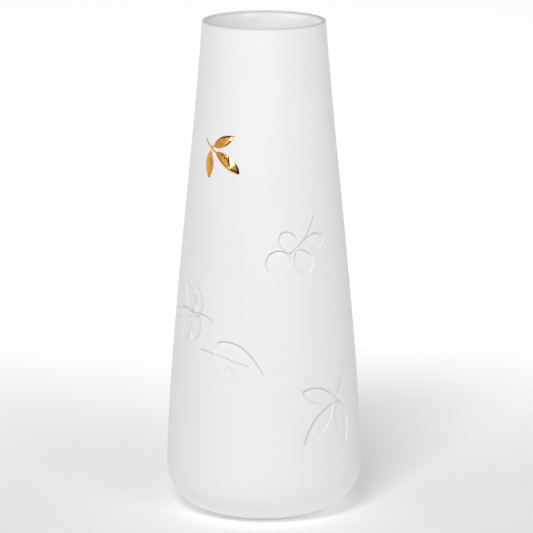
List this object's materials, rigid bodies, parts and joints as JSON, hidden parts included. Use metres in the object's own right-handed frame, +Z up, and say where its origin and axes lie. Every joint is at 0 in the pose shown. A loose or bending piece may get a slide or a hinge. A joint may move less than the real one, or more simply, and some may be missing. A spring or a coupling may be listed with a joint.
{
  "type": "porcelain vase",
  "caption": "Tall tapering vase in matt white porcelain with a round bottom corner, pressed leaf sprigs and a gilded sprig; holds cut stems.",
  "frame": {"origin": "centre of the foot, on the surface that the vase stands on", "axes": "+Z up along the vase's axis; -Y is the front, with the gilded sprig to its left"},
  "size_m": [0.1049, 0.105, 0.265],
  "materials": {
    "bisque": "matte",
    "glaze": "gloss",
    "gold": "polished"
  },
  "bodies": {
    "root": {"porcelain_body": "bisque", "inner_glaze": "glaze", "gilt_stem": "gold", "gilt_leaf_upper": "gold", "gilt_leaf_hanging": "gold", "gilt_leaf_lower": "gold"}
  },
  "joints": []
}
